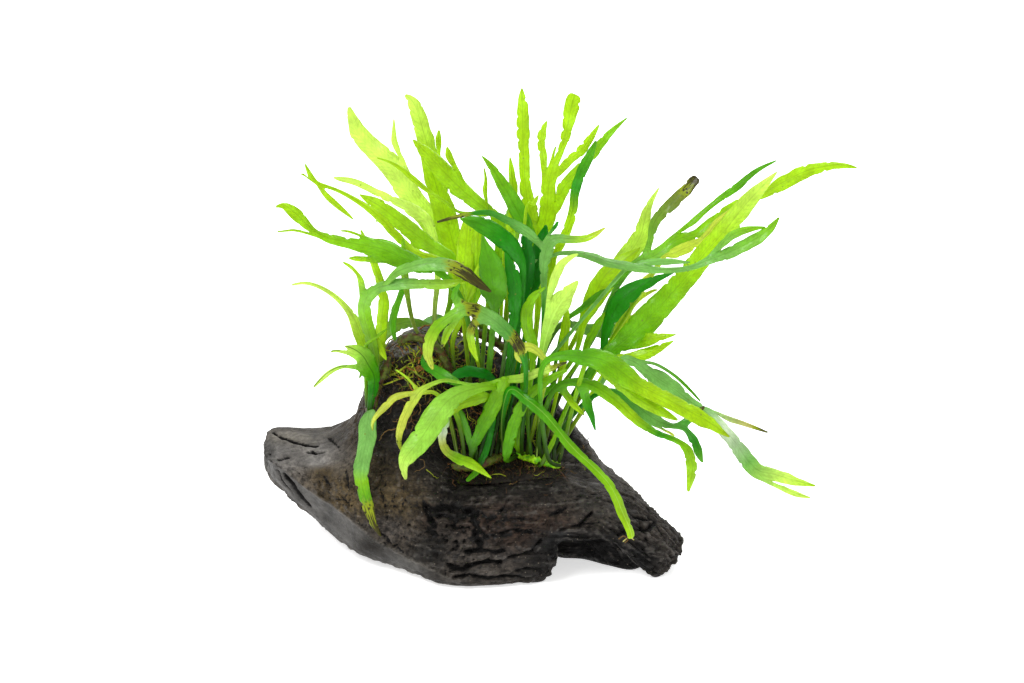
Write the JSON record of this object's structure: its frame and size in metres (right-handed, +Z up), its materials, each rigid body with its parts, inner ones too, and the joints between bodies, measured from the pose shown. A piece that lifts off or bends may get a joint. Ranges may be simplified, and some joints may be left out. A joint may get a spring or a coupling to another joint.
{
  "type": "java fern on driftwood",
  "caption": "Java fern with long, narrow, forked lime-green fronds growing from creeping rhizomes and moss on a dark, wet piece of driftwood with a hollow under its right end.",
  "frame": {"origin": "on the driftwood's flat underside, below the middle of its mound and hollow", "axes": "+Z up, square to the flat underside; +X along the driftwood from its left arm to its right foot; -Y towards the side with the hollow and the front fronds"},
  "size_m": [0.2436, 0.1249, 0.1924],
  "materials": {
    "driftwood": "wet, dark, rough",
    "moss": "matte, fibrous",
    "rhizome": "satin",
    "frond": "satin, wet in places"
  },
  "bodies": {
    "root": {"driftwood_left_arm": "driftwood", "driftwood_body": "driftwood", "driftwood_bridge": "driftwood", "driftwood_right_foot": "driftwood", "moss_mat_hollow": "moss", "moss_mat_mound": "moss", "rhizome_left": "rhizome", "rhizome_top": "rhizome", "rhizome_middle": "rhizome", "rhizome_front": "rhizome", "rhizome_back": "rhizome", "rhizome_crest": "rhizome", "frond_left_drape": "frond", "frond_left_low": "frond", "frond_left_whip": "frond", "frond_left_arch": "frond", "frond_left_tall": "frond", "frond_mound_left": "frond", "frond_mound_stem": "frond", "frond_fork_whip": "frond", "frond_broad_left": "frond", "frond_pale_strap": "frond", "frond_centre_lime": "frond", "frond_left_long": "frond", "frond_upper_mid": "frond", "frond_centre_dark_tip": "frond", "frond_centre_tall": "frond", "frond_right_of_centre": "frond", "frond_right_spread": "frond", "frond_right_upright": "frond", "frond_far_right": "frond", "frond_right_dark": "frond", "frond_right_sweep": "frond", "frond_thin_right": "frond", "frond_pale_big": "frond", "frond_tall_left": "frond", "frond_lime_behind": "frond", "frond_rear_far_left": "frond", "frond_rear_left": "frond", "frond_rear_upright": "frond", "frond_rear_middle": "frond", "frond_rear_right": "frond", "frond_front_broad": "frond", "frond_yellow_hook": "frond", "frond_twisted": "frond", "frond_dark_curl": "frond", "frond_forward": "frond", "frond_dark_holed": "frond", "frond_deep_green": "frond", "frond_front_long": "frond", "frond_darkest": "frond", "frond_front_fork": "frond", "frond_crossing": "frond", "frond_short_notched": "frond", "frond_veined": "frond", "frond_hooked_right": "frond", "frond_great_lime": "frond", "frond_low_right_dark": "frond", "frond_right_droop": "frond", "frond_bridge": "frond"}
  },
  "joints": []
}
